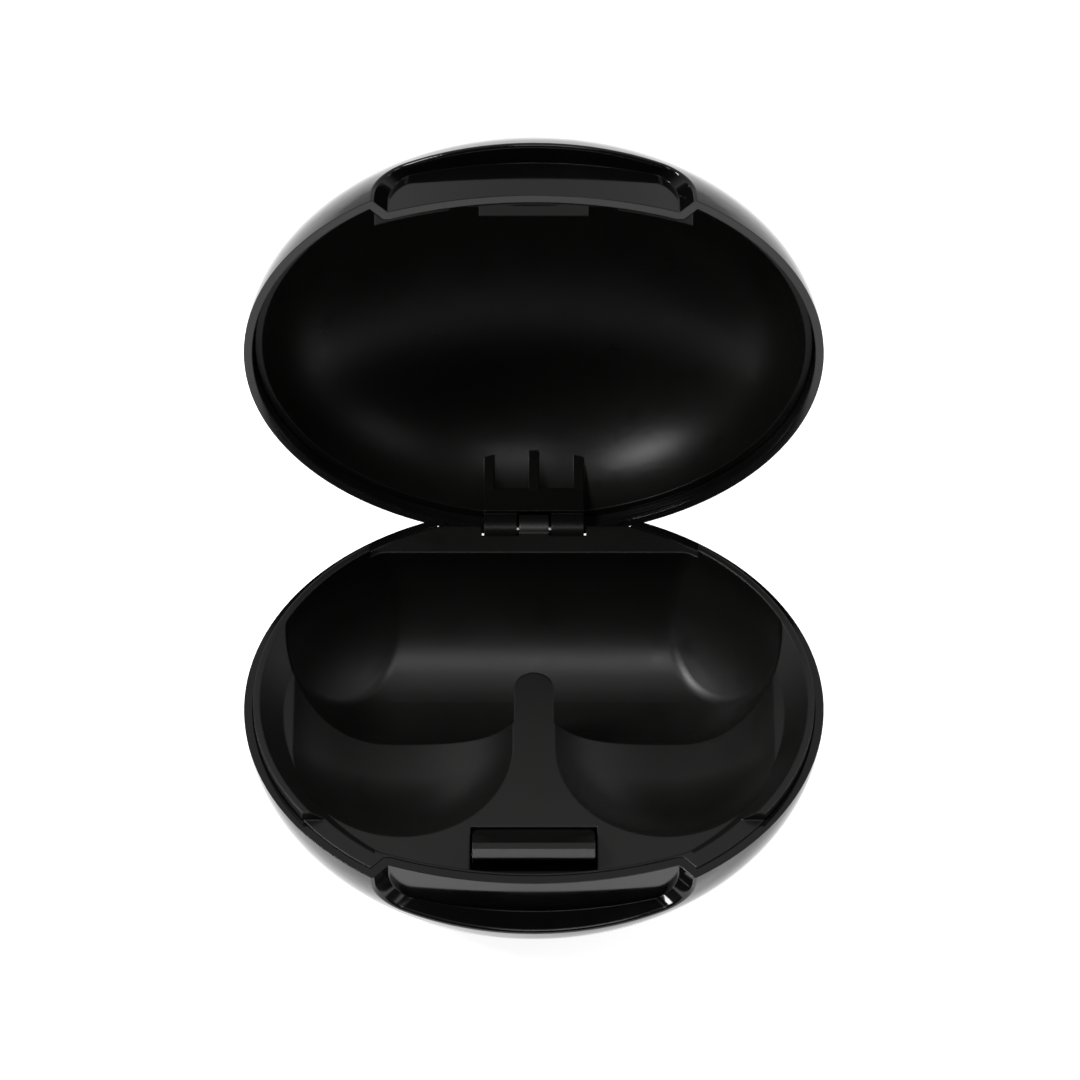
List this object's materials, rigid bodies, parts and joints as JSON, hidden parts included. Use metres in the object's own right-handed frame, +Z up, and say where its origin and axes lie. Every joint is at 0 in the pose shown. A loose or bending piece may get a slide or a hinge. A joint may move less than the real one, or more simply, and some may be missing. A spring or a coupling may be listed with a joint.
{
  "type": "earbuds case",
  "caption": "Oval black clamshell storage case for a pair of earbuds, with a hinged lid, two round wells, a rear trough and a front snap catch.",
  "frame": {"origin": "centre of the flat underside of the base, below the middle of the oval rim", "axes": "+X across the case to the right, +Y to the hinge at the rear, +Z up; the lid is stored open on its stop"},
  "size_m": [0.076, 0.0908, 0.0783],
  "materials": {
    "outer_gloss": "polished black",
    "inner_satin": "fine satin black",
    "catch_satin": "fine satin black",
    "pin_steel": "ground",
    "weight_steel": "rolled"
  },
  "bodies": {
    "base": {"base_shell": "outer_gloss", "base_tray": "inner_satin", "base_weight": "weight_steel", "hinge_pin": "pin_steel"},
    "lid": {"lid_shell": "outer_gloss", "lid_liner": "inner_satin"},
    "catch": {"catch": "catch_satin"}
  },
  "joints": [
    {"name": "lid_hinge", "type": "hinge", "parent": "base", "child": "lid", "pos_m": [0, 0.02975, 0.0195], "axis": [1, 0, 0], "range_deg": [0, 98.8]},
    {"name": "catch_flex", "type": "hinge", "parent": "base", "child": "catch", "pos_m": [0, -0.0235, 0.014], "axis": [-1, 0, 0], "range_deg": [0, 3], "stiffness_Nm_per_rad": 0.5}
  ]
}
